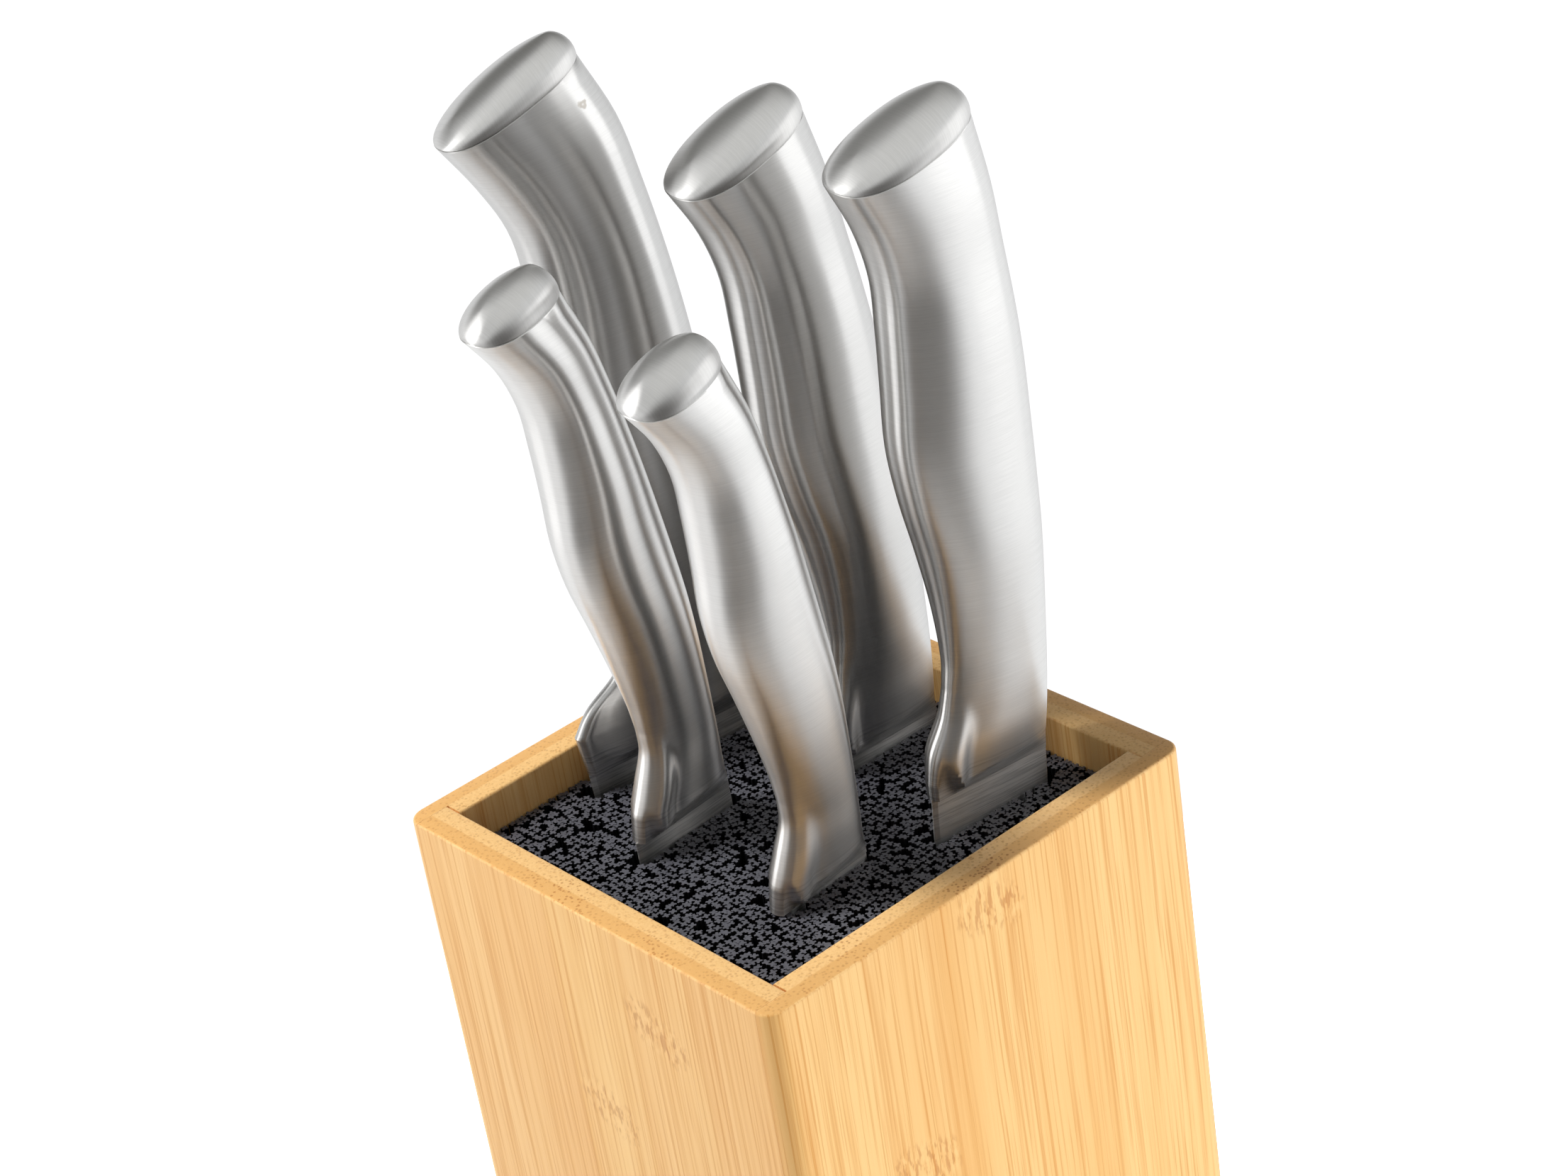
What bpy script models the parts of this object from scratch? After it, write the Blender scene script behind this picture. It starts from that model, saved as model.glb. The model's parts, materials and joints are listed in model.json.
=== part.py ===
"""A bamboo knife block: a square box on rubber feet, a lift-out bundle of plastic rods, and five knives.

Metres, +Z up. The origin is on the surface that the feet stand on, under the middle of the block.
-Y is the side that the cutting edges face, and the blades stand in planes close to YZ.
Each knife is modelled in its own frame: +Z runs up the blade and the handle, Y = 0 is the back of
the blade, -Y is towards the cutting edge, and Z = 0 is where the bolster meets the blade.
"""

from math import copysign, cos, pi, radians, sin

import bmesh
import bpy
from mathutils import Euler, Matrix, Vector

MM = 0.001
GAP = 0.3 * MM

# The box
BLOCK_SIDE = 100.0 * MM
RIM_Z = 225.0 * MM
WALL = 7.2 * MM
CORNER_RADIUS = WALL / 2
CORNER_STEPS = 4
EDGE_BEVEL = 0.4 * MM
FOOT_HEIGHT = 2.0 * MM
FOOT_RADIUS = 6.0 * MM
FOOT_OFFSET = 32.0 * MM
FOOT_TAPER = 0.94
BASE_THICKNESS = 7.0 * MM

# The rod insert
ROD_PLATE_THICKNESS = 3.0 * MM
ROD_TOP_Z = RIM_Z - 7.6 * MM
SLOT_PLAY = 0.6 * MM
SLOT_TOP = 20.0 * MM

# What every knife shares
SHEET = 1.2 * MM
FOOT_THICKNESS = 3.4 * MM
CAP_DOME = 4.6 * MM
CAP_LEAN = 0.10
CAP_BAND = 0.8 * MM
TANG_LENGTH = 12.0 * MM
TANG_THICKNESS = 1.6 * MM
BLADE_BACK = 2.2 * MM
BLADE_EDGE = 0.5 * MM
SECTION_STEPS = 8
FULLNESS = 2.3
SHELL_STEPS = 9
LEAN_START = 0.75

# Heights and spans in a knife's own frame, in mm
BOLSTER_TOP = 20.0
SPIGOT_TOP = 26.0
SPIGOT_PLAY = 0.2
TANG_SPAN = (-6.0, -16.0)
POCKET_BOTTOM = -2.0
BLADE_TAPER = 60.0
POINT_THICKNESS = 0.4
POINT_DEPTH = 1.0
POINT_ROUNDNESS = 0.8

# Where the blade's sections stand along its tapering point, as shares of the point's length
POINT_SHARES = (0.0, 0.06, 0.2, 0.45, 0.7, 1.0)

# Where the bolster's sections stand between its facet and its top, as shares of that height
BOLSTER_SHARES = (0.0, 0.35, 0.7, 1.0)

# The end cap's dome: how far in from the edge, as a share of the half thickness, and how high.
# Its top leans by CAP_LEAN towards the back of the handle.
CAP_PROFILE = ((0.0, 0.1), (0.12, 0.47), (0.35, 0.76), (0.75, 1.0))

INNER_HALF = BLOCK_SIDE / 2 - WALL
BOTTOM_Z = FOOT_HEIGHT + GAP
BASE_TOP_Z = BOTTOM_Z + BASE_THICKNESS
PLATE_Z = BASE_TOP_Z + GAP
ROD_BOTTOM_Z = PLATE_Z + ROD_PLATE_THICKNESS + GAP

# Each handle, in mm, by height: back and belly lines, half thickness, how much the belly side
# narrows (0 is a plain oval), all read through a smooth curve.
LARGE_HANDLE = dict(
    height=(0, 7, 17, 29, 46, 66, 85, 102, 113, 122),
    back=(0, 0.2, 0.5, 0.4, 0.0, -0.9, -2.4, -5.0, -7.2, -9.6),
    belly=(-26.7, -26.6, -22.2, -21.2, -23.8, -28.2, -28.4, -29.0, -32.0, -36.1),
    half=(3.4, 5.6, 6.4, 7.3, 9.0, 9.4, 9.5, 9.2, 9.9, 9.4),
    narrow=(0.5, 0.5, 0.4, 0.3, 0.15, 0.1, 0.1, 0.1, 0.1, 0.0),
    tilt=0.28,
    facet=3.0,
)
CHEF_HANDLE = dict(
    height=(0, 6, 11, 14, 19, 30, 48, 68, 89, 107, 118, 128),
    back=(0, 0.8, 1.5, 1.9, 2.5, 3.7, 5.3, 5.4, 4.4, 2.4, 0.3, -3.9),
    belly=(-35.4, -35.8, -35.2, -27.5, -25.0, -23.5, -24.4, -25.8, -22.6, -23.2, -27.3, -32.1),
    half=(3.4, 5.4, 5.8, 6.0, 6.4, 7.4, 8.9, 9.5, 9.4, 9.4, 9.9, 9.0),
    narrow=(0.6, 0.6, 0.6, 0.55, 0.5, 0.35, 0.2, 0.1, 0.1, 0.1, 0.1, 0.0),
    tilt=0.28,
    facet=8.0,
)
SMALL_HANDLE = dict(
    height=(0, 6, 15, 26, 41, 58, 75, 90, 99, 107),
    back=(0, -0.3, -0.4, -0.8, -1.7, -3.8, -6.6, -9.4, -11.8, -14.8),
    belly=(-22.7, -21.4, -17.1, -17.4, -20.6, -24.5, -24.3, -25.0, -28.1, -33.0),
    half=(3.2, 4.7, 5.1, 6.1, 7.5, 8.1, 8.4, 8.0, 8.2, 7.4),
    narrow=(0.45, 0.4, 0.35, 0.25, 0.15, 0.1, 0.1, 0.1, 0.1, 0.0),
    tilt=0.16,
    facet=5.0,
)

# Each knife: its handle, where Z = 0 of its own frame stands (x, y, height above the rim, in mm),
# its lean towards -Y, its lean towards +X and its turn about +Z, in degrees, and its blade in mm.
KNIVES = {
    "chef": dict(
        handle=CHEF_HANDLE, place=(-32.1, 17.7, -2.2), lean=2.2, side=-2.6, turn=-8.8,
        length=198, width=35.4, tip_length=120, tip_drop=7,
    ),
    "bread": dict(
        handle=LARGE_HANDLE, place=(-3.4, 38.6, -5.0), lean=0.8, side=0.0, turn=-2.7,
        length=194, width=26, tip_length=24, tip_drop=17,
    ),
    "carving": dict(
        handle=LARGE_HANDLE, place=(27.5, 36.9, -0.6), lean=-2.7, side=1.7, turn=-3.2,
        length=198, width=26.5, tip_length=80, tip_drop=5,
    ),
    "utility": dict(
        handle=SMALL_HANDLE, place=(-14.4, -3.6, -3.2), lean=1.7, side=-0.1, turn=3.9,
        length=127, width=23, tip_length=70, tip_drop=4,
    ),
    "paring": dict(
        handle=SMALL_HANDLE, place=(18.7, -0.7, -6.1), lean=2.5, side=2.3, turn=4.0,
        length=90, width=20, tip_length=60, tip_drop=3,
    ),
}


def clear_scene():
    for item in list(bpy.data.objects):
        bpy.data.objects.remove(item, do_unlink=True)


def material(name, colour, roughness, metallic=0.0):
    made = bpy.data.materials.new(name)
    made.use_nodes = True
    shader = made.node_tree.nodes["Principled BSDF"]
    shader.inputs["Base Color"].default_value = (*colour, 1.0)
    shader.inputs["Roughness"].default_value = roughness
    shader.inputs["Metallic"].default_value = metallic
    return made


def add_object(name, mesh_source, finish, parent=None, smooth=False):
    """Turns a bmesh into a named object with its material."""
    bmesh.ops.recalc_face_normals(mesh_source, faces=mesh_source.faces)
    mesh = bpy.data.meshes.new(name)
    mesh_source.to_mesh(mesh)
    mesh_source.free()
    if smooth:
        mesh.shade_smooth()
        mesh.set_sharp_from_angle(angle=radians(35))
    mesh.materials.append(finish)
    item = bpy.data.objects.new(name, mesh)
    bpy.context.collection.objects.link(item)
    if parent is not None:
        item.parent = parent
    return item


def add_bevel(item, width):
    bevel = item.modifiers.new("edge", "BEVEL")
    bevel.width = width
    bevel.segments = 1
    bevel.limit_method = "ANGLE"
    bevel.angle_limit = radians(40)


def box(low, high):
    """A bmesh box between two corners."""
    built = bmesh.new()
    bmesh.ops.create_cube(built, size=1.0)
    low, high = Vector(low), Vector(high)
    bmesh.ops.scale(built, vec=high - low, verts=built.verts)
    bmesh.ops.translate(built, vec=(low + high) / 2, verts=built.verts)
    return built


def prism(outline, bottom, top):
    """An outline of (x, y) points, counter-clockwise, extruded from one height to another."""
    built = bmesh.new()
    floor = built.faces.new([built.verts.new((x, y, bottom)) for x, y in outline])
    grown = bmesh.ops.extrude_face_region(built, geom=[floor], use_keep_orig=True)
    upper = [element for element in grown["geom"] if isinstance(element, bmesh.types.BMVert)]
    bmesh.ops.translate(built, vec=(0, 0, top - bottom), verts=upper)
    return built


def loft(rings):
    """A closed solid through rings of points that have the same count, with both ends capped."""
    built = bmesh.new()
    rows = [[built.verts.new(point) for point in ring] for ring in rings]
    count = len(rows[0])
    for lower, upper in zip(rows, rows[1:]):
        for i in range(count):
            j = (i + 1) % count
            built.faces.new((lower[i], lower[j], upper[j], upper[i]))
    built.faces.new(rows[0])
    built.faces.new(rows[-1])
    return built


def read_curve(heights, values, at):
    """The value at a height on a smooth curve (Catmull-Rom) through the given points."""
    last = len(heights) - 1
    at = min(max(at, heights[0]), heights[last])
    i = next(k for k in range(last) if at <= heights[k + 1])
    slopes = []
    for k in (i, i + 1):
        low, high = max(k - 1, 0), min(k + 1, last)
        slopes.append((values[high] - values[low]) / (heights[high] - heights[low]))
    span = heights[i + 1] - heights[i]
    s = (at - heights[i]) / span
    return (
        (2 * s**3 - 3 * s**2 + 1) * values[i]
        + (s**3 - 2 * s**2 + s) * span * slopes[0]
        + (3 * s**2 - 2 * s**3) * values[i + 1]
        + (s**3 - s**2) * span * slopes[1]
    )


def rounded(value):
    """Makes an ellipse's sine or cosine a little fuller, as the handle's section is."""
    return copysign(abs(value) ** (2 / FULLNESS), value)


def handle_point(handle, height, angle, inset=0.0):
    """A point on the handle at a height in mm: angle 0 is the back, 180 degrees is the belly."""
    back = read_curve(handle["height"], handle["back"], height) - inset
    belly = read_curve(handle["height"], handle["belly"], height) + inset
    half = read_curve(handle["height"], handle["half"], height) - inset
    narrow = read_curve(handle["height"], handle["narrow"], height)
    total = handle["height"][-1]
    leaning = min(max((height / total - LEAN_START) / (1 - LEAN_START), 0.0), 1.0)
    middle, reach = (back + belly) / 2, (back - belly) / 2
    across = half * rounded(sin(angle)) * (1 - narrow * (1 - cos(angle)) / 2)
    along = reach * rounded(cos(angle))
    rise = handle["tilt"] * leaning * along
    return Vector((across * MM, (middle + along) * MM, (height + rise) * MM))


def full_ring(handle, height, inset=0.0, lift=0.0):
    count = 2 * SECTION_STEPS
    angles = [2 * pi * i / count for i in range(count)]
    return [handle_point(handle, height, a, inset) + Vector((0, 0, lift)) for a in angles]


def shell_ring(handle, height, side):
    """The C-shaped section of one pressed half: the outer skin, then the inner skin back again."""
    angles = [pi * i / SECTION_STEPS for i in range(SECTION_STEPS + 1)]
    outer = [handle_point(handle, height, a) for a in angles]
    inner = [handle_point(handle, height, a, SHEET / MM) for a in reversed(angles)]
    for point in outer + inner:
        point.x = side * max(point.x, GAP / 2)
    return outer + inner


def blade_stations(knife):
    """The blade's (height, back, edge) in mm, from its point to its heel."""
    length, width, drop = knife["length"], knife["width"], knife["tip_drop"]
    stations = []
    point = drop + POINT_DEPTH
    for share in POINT_SHARES:
        back = -drop * (1 - share) ** 2
        depth = point + (width - point) * sin(share * pi / 2) ** POINT_ROUNDNESS
        stations.append((share * knife["tip_length"] - length, back, -depth))
    stations.append((-GAP / MM, 0.0, -width))
    return stations


def make_walls(bamboo):
    reach = BLOCK_SIDE / 2
    step = reach - WALL / 2
    for name, side in (("wall_front", -1), ("wall_back", 1)):
        ends = step - GAP
        y0, y1 = sorted((side * INNER_HALF, side * reach))
        wall = add_object(name, box((-ends, y0, BOTTOM_Z), (ends, y1, RIM_Z)), bamboo)
        add_bevel(wall, EDGE_BEVEL)
    arc = [pi / 2 * i / CORNER_STEPS for i in range(CORNER_STEPS + 1)]
    corner = reach - CORNER_RADIUS
    outer = [(corner + CORNER_RADIUS * sin(a), -corner - CORNER_RADIUS * cos(a)) for a in arc]
    lip = [(INNER_HALF, -INNER_HALF + GAP), (step, -INNER_HALF + GAP)]
    half = lip + outer
    outline = half + [(x, -y) for x, y in reversed(half)]
    for name, turn in (("wall_right", 0), ("wall_left", pi)):
        built = prism(outline, BOTTOM_Z, RIM_Z)
        bmesh.ops.rotate(built, verts=built.verts, matrix=Matrix.Rotation(turn, 3, "Z"))
        add_bevel(add_object(name, built, bamboo), EDGE_BEVEL)


def make_base(bamboo, rubber):
    half = INNER_HALF - GAP
    base = add_object("base_board", box((-half, -half, BOTTOM_Z), (half, half, BASE_TOP_Z)), bamboo)
    add_bevel(base, EDGE_BEVEL)
    places = {"foot_front_left": (-1, -1), "foot_front_right": (1, -1),
              "foot_back_left": (-1, 1), "foot_back_right": (1, 1)}
    for name, (x, y) in places.items():
        built = bmesh.new()
        bmesh.ops.create_cone(built, cap_ends=True, segments=24, radius1=FOOT_RADIUS,
                              radius2=FOOT_RADIUS * FOOT_TAPER, depth=FOOT_HEIGHT)
        centre = Vector((x * FOOT_OFFSET, y * FOOT_OFFSET, FOOT_HEIGHT / 2))
        bmesh.ops.translate(built, vec=centre, verts=built.verts)
        add_object(name, built, rubber, smooth=True)


def knife_matrix(knife):
    x, y, z = knife["place"]
    turn = Euler((radians(knife["lean"]), radians(knife["side"]), radians(knife["turn"])), "XYZ")
    place = Matrix.Translation((x * MM, y * MM, RIM_Z + z * MM))
    return place @ turn.to_matrix().to_4x4()


def make_rods(plastic):
    """The rod bundle as one solid, with a slot for each blade, on its base plate."""
    half = INNER_HALF - GAP
    plate = box((-half, -half, PLATE_Z), (half, half, PLATE_Z + ROD_PLATE_THICKNESS))
    add_bevel(add_object("rod_plate", plate, plastic), EDGE_BEVEL)
    solid = box((-half, -half, ROD_BOTTOM_Z), (half, half, ROD_TOP_Z))
    bundle = add_object("rod_bundle", solid, plastic)
    for name, knife in KNIVES.items():
        play, thick = SLOT_PLAY, BLADE_BACK / 2 + SLOT_PLAY / 2
        low = (-thick, -knife["width"] * MM - play, -knife["length"] * MM - play)
        cutter = add_object(name + "_slot", box(low, (thick, play, SLOT_TOP)), plastic)
        cutter.matrix_world = knife_matrix(knife)
        cutter.hide_render = True
        cutter.display_type = "WIRE"
        cut = bundle.modifiers.new(name, "BOOLEAN")
        cut.operation = "DIFFERENCE"
        cut.object = cutter


def blade_ring(height, back, edge, thick, thin):
    """A section of the blade: parallel sides at the back, then a wedge down to the edge."""
    middle = (back + edge) / 2
    side = [(thick, back), (thick, middle), (thin, edge)]
    whole = side + [(-x, y) for x, y in reversed(side)]
    return [Vector((x, y * MM, height * MM)) for x, y in whole]


def make_blade(name, knife, steel, axis):
    """The blade, with the tang that stands in the bolster's pocket."""
    rings = []
    for height, back, edge in blade_stations(knife):
        grown = (height + knife["length"]) / BLADE_TAPER
        taper = min(1.0, POINT_THICKNESS + (1 - POINT_THICKNESS) * grown)
        rings.append(blade_ring(height, back, edge, BLADE_BACK / 2 * taper, BLADE_EDGE / 2))
    for height in (-GAP / MM, TANG_LENGTH / MM):
        rings.append(blade_ring(height, *TANG_SPAN, TANG_THICKNESS / 2, TANG_THICKNESS / 2))
    add_object(name + "_blade", loft(rings), steel, axis)


def make_bolster(name, handle, steel, axis):
    """The solid steel collar: thin at the blade, full at the handle, with a spigot for the shells."""
    foot = full_ring(handle, 0)
    for point in foot:
        point.x = FOOT_THICKNESS / 2 * (1 if point.x > 0 else -1) if abs(point.x) > GAP else 0.0
    rings = [foot]
    for share in BOLSTER_SHARES:
        rings.append(full_ring(handle, handle["facet"] + share * (BOLSTER_TOP - handle["facet"])))
    inset = (SHEET + GAP) / MM + SPIGOT_PLAY
    rings.append(full_ring(handle, BOLSTER_TOP, inset))
    rings.append(full_ring(handle, SPIGOT_TOP, inset))
    bolster = add_object(name + "_bolster", loft(rings), steel, axis, smooth=True)
    play = GAP / MM
    back, edge = TANG_SPAN
    low = (-TANG_THICKNESS / 2 - GAP, (edge - play) * MM, POCKET_BOTTOM * MM)
    high = (TANG_THICKNESS / 2 + GAP, (back + play) * MM, TANG_LENGTH + GAP)
    pocket = add_object(name + "_pocket", box(low, high), steel, axis)
    pocket.hide_render = True
    pocket.display_type = "WIRE"
    cut = bolster.modifiers.new("pocket", "BOOLEAN")
    cut.operation = "DIFFERENCE"
    cut.object = pocket


def make_shells(name, handle, steel, axis):
    """The hollow handle: two pressed halves, welded along the back and the belly."""
    top = handle["height"][-1]
    heights = [BOLSTER_TOP + GAP / MM, SPIGOT_TOP]
    heights += [SPIGOT_TOP + (top - SPIGOT_TOP) * (i + 1) / SHELL_STEPS for i in range(SHELL_STEPS)]
    for word, side in (("left", -1), ("right", 1)):
        rings = [shell_ring(handle, height, side) for height in heights]
        add_object(f"{name}_handle_{word}", loft(rings), steel, axis, smooth=True)


def make_cap(name, handle, steel, axis):
    """The domed cap that closes the handle's end."""
    top = handle["height"][-1]
    rings = [full_ring(handle, top, 0.0, GAP)]
    for inset, rise in CAP_PROFILE:
        width = inset * handle["half"][-1]
        ring = full_ring(handle, top, width, GAP + CAP_BAND + rise * CAP_DOME)
        middle = (ring[0].y + ring[SECTION_STEPS].y) / 2
        for point in ring:
            point.z += CAP_LEAN * rise * (point.y - middle)
        rings.append(ring)
    add_object(name + "_end_cap", loft(rings), steel, axis, smooth=True)


def make_knife(name, knife, steel):
    axis = bpy.data.objects.new(name + "_axis", None)
    bpy.context.collection.objects.link(axis)
    axis.matrix_world = knife_matrix(knife)
    make_blade(name, knife, steel, axis)
    make_bolster(name, knife["handle"], steel, axis)
    make_shells(name, knife["handle"], steel, axis)
    make_cap(name, knife["handle"], steel, axis)


def main():
    clear_scene()
    bamboo = material("bamboo", (0.72, 0.45, 0.19), 0.5)
    rubber = material("foot_rubber", (0.03, 0.03, 0.03), 0.8)
    rod_plastic = material("rod_plastic", (0.02, 0.02, 0.024), 0.45)
    steel = material("brushed_steel", (0.62, 0.61, 0.59), 0.32, 1.0)
    make_walls(bamboo)
    make_base(bamboo, rubber)
    make_rods(rod_plastic)
    for name, knife in KNIVES.items():
        make_knife(name, knife, steel)


main()
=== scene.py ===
# %% [markdown]
# # A bamboo knife block with five steel-handled knives
# The plain working model comes first: its bodies, nodes and joints are the fixed frame, and every
# finished piece below is measured from it. Nothing is placed by eye.

# %% Load the frame
import json
from math import copysign, cos, exp, pi, radians, sin, sqrt
from random import Random

import bmesh
import bpy
import numpy as np
from mathutils import Matrix, Vector, noise


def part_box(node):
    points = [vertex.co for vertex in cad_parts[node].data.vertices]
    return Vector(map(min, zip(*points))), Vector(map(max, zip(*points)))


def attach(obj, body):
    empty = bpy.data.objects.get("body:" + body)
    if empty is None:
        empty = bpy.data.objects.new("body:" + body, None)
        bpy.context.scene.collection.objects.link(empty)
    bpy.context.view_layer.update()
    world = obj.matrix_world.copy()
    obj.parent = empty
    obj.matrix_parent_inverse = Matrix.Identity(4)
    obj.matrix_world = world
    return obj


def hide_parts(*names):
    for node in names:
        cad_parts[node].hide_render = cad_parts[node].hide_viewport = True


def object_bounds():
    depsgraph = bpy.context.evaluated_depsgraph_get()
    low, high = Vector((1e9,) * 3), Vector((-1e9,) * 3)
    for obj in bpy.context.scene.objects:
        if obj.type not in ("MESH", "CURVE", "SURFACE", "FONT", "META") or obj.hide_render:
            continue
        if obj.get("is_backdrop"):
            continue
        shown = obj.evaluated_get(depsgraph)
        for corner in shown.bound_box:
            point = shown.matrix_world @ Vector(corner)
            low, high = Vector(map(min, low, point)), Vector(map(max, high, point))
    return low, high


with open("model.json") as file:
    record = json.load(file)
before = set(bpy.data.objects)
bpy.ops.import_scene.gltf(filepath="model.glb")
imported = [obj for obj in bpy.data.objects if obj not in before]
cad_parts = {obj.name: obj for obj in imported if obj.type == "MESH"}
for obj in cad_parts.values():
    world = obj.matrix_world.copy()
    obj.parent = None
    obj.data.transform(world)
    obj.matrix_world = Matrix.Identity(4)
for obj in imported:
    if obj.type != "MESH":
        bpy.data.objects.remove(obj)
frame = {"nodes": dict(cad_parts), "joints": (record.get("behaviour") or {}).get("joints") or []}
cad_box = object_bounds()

MM = 0.001
KNIFE_NAMES = ["chef", "bread", "carving", "utility", "paring"]

# %% [markdown]
# ## Camera
# The block is seen from above one corner, with a long lens, so its edges draw together only a
# little. The camera is also rolled by a few degrees, which leans the block over in the picture.
# Three turns in a row say this plainly: round the vertical, down towards the floor, then the roll.

# %% Place the camera
CAMERA_PLACE = (0.4263, -0.3217, 0.5647)
CAMERA_AZIMUTH, CAMERA_DROP, CAMERA_ROLL = 52.46, 29.34, -9.35
LENS_MM = 80.9


def place_camera():
    turn = (
        Matrix.Rotation(radians(CAMERA_AZIMUTH), 4, "Z")
        @ Matrix.Rotation(radians(90 - CAMERA_DROP), 4, "X")
        @ Matrix.Rotation(radians(CAMERA_ROLL), 4, "Z")
    )
    camera = bpy.data.objects.new("camera", bpy.data.cameras.new("camera"))
    camera.data.lens = LENS_MM
    camera.data.sensor_width = 36.0
    camera.matrix_world = Matrix.Translation(CAMERA_PLACE) @ turn
    bpy.context.scene.collection.objects.link(camera)
    bpy.context.scene.camera = camera


place_camera()
print("camera looks down by", CAMERA_DROP, "degrees")

# %% [markdown]
# ## Nodes in a few words
# Every finish here is a small network of shader nodes. Three helpers keep the networks short: one
# adds a node and fills or links its inputs, one does arithmetic, and one mixes two colours.


# %% Helpers for materials
def add_node(tree, kind, inputs=None, **settings):
    """Adds a shader node. An input is a plain value, or another node's output to link."""
    node = tree.nodes.new("ShaderNode" + kind)
    for key, value in settings.items():
        setattr(node, key, value)
    for key, value in (inputs or {}).items():
        if isinstance(value, bpy.types.NodeSocket):
            tree.links.new(value, node.inputs[key])
        else:
            node.inputs[key].default_value = value
    return node


def calc(tree, operation, *values):
    return add_node(tree, "Math", dict(enumerate(values)), operation=operation).outputs[0]


def mix(tree, share, first, second, mode="MIX"):
    inputs = {0: share, 6: first, 7: second}
    node = add_node(tree, "Mix", inputs, data_type="RGBA", blend_type=mode)
    return node.outputs[2]


def grain(tree, vector, scale, detail=2.0, roughness=0.5):
    """A noise value, centred on 0.5."""
    inputs = {"Vector": vector, "Scale": scale, "Detail": detail, "Roughness": roughness}
    return add_node(tree, "TexNoise", inputs).outputs["Fac"]


def fade(tree, value, start, end):
    """0 before start, 1 after end, and smooth between them."""
    inputs = {"Value": value, "From Min": start, "From Max": end}
    node = add_node(tree, "MapRange", inputs, interpolation_type="SMOOTHSTEP")
    return node.outputs["Result"]


def stretched(tree, place, scale):
    return add_node(tree, "VectorMath", {0: place, 1: scale}, operation="MULTIPLY").outputs[0]


def colour(red, green, blue):
    """A colour picked on screen, from 0 to 255, as the linear values that a shader works in."""
    picked = [value / 255 for value in (red, green, blue)]
    linear = [v / 12.92 if v <= 0.04045 else ((v + 0.055) / 1.055) ** 2.4 for v in picked]
    return (*linear, 1.0)


def new_finish(name, roughness, metallic=0.0):
    """A material with its node tree and its Principled shader."""
    made = bpy.data.materials.new(name)
    made.use_nodes = True
    shader = made.node_tree.nodes["Principled BSDF"]
    shader.inputs["Roughness"].default_value = roughness
    shader.inputs["Metallic"].default_value = metallic
    return made, made.node_tree, shader


def add_bump(tree, shader, height, depth):
    """Raises the surface by the height pattern, by depth metres at most."""
    node = add_node(tree, "Bump", {"Height": height, "Distance": depth, "Strength": 1.0})
    tree.links.new(node.outputs["Normal"], shader.inputs["Normal"])


def link_input(tree, value, shader, name):
    tree.links.new(value, shader.inputs[name])


# %% [markdown]
# ## Floor and light
# A white floor and a light tent: two large soft lights left and right of the camera, and a dark
# side behind the camera. Polished metal shows only what stands round it, so the dark side is what
# draws the grey bands down the middle of each handle. Wood and plastic are lit apart from that: a
# small key light from high on the left throws the shadows inside the box, and three low fills
# reach the box's sides and its near corner.

# %% Make the floor and the lights
FLOOR_RADIUS = 0.32
LIGHT_REACH = 0.9
SIDE = Vector((0.664, 0.734, 0.0)).normalized()
VIEW = Vector((0.79, -0.61, 0.0)).normalized()


def make_floor():
    finish, tree, shader = new_finish("floor_white", 0.9)
    tone = grain(tree, add_node(tree, "TexCoord").outputs["Object"], 3.0)
    white, shade = (1.0, 1.0, 1.0, 1.0), (0.97, 0.97, 0.97, 1.0)
    link_input(tree, mix(tree, tone, white, shade), shader, "Base Color")
    shader.inputs["Emission Color"].default_value = (1.0, 1.0, 1.0, 1.0)
    seen = add_node(tree, "LightPath").outputs["Is Camera Ray"]
    glow = calc(tree, "ADD", calc(tree, "MULTIPLY", seen, 1.0), FLOOR_GLOW)
    link_input(tree, glow, shader, "Emission Strength")
    built = bmesh.new()
    bmesh.ops.create_circle(built, cap_ends=True, segments=96, radius=FLOOR_RADIUS)
    mesh = bpy.data.meshes.new("floor")
    built.to_mesh(mesh)
    built.free()
    mesh.materials.append(finish)
    floor = bpy.data.objects.new("floor", mesh)
    bpy.context.scene.collection.objects.link(floor)
    floor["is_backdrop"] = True


def add_softbox(name, place, aim, width, height, power, in_metal=True):
    """A soft rectangular light. One that isn't in_metal lights matt pieces and casts no glints."""
    lamp = bpy.data.lights.new(name, "AREA")
    lamp.shape = "RECTANGLE"
    lamp.size, lamp.size_y = width, height
    lamp.energy = power
    holder = bpy.data.objects.new(name, lamp)
    holder.matrix_world = Matrix.Translation(place) @ (
        (Vector(aim) - Vector(place)).to_track_quat("-Z", "Y").to_matrix().to_4x4()
    )
    holder.visible_glossy = in_metal
    bpy.context.scene.collection.objects.link(holder)


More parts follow.
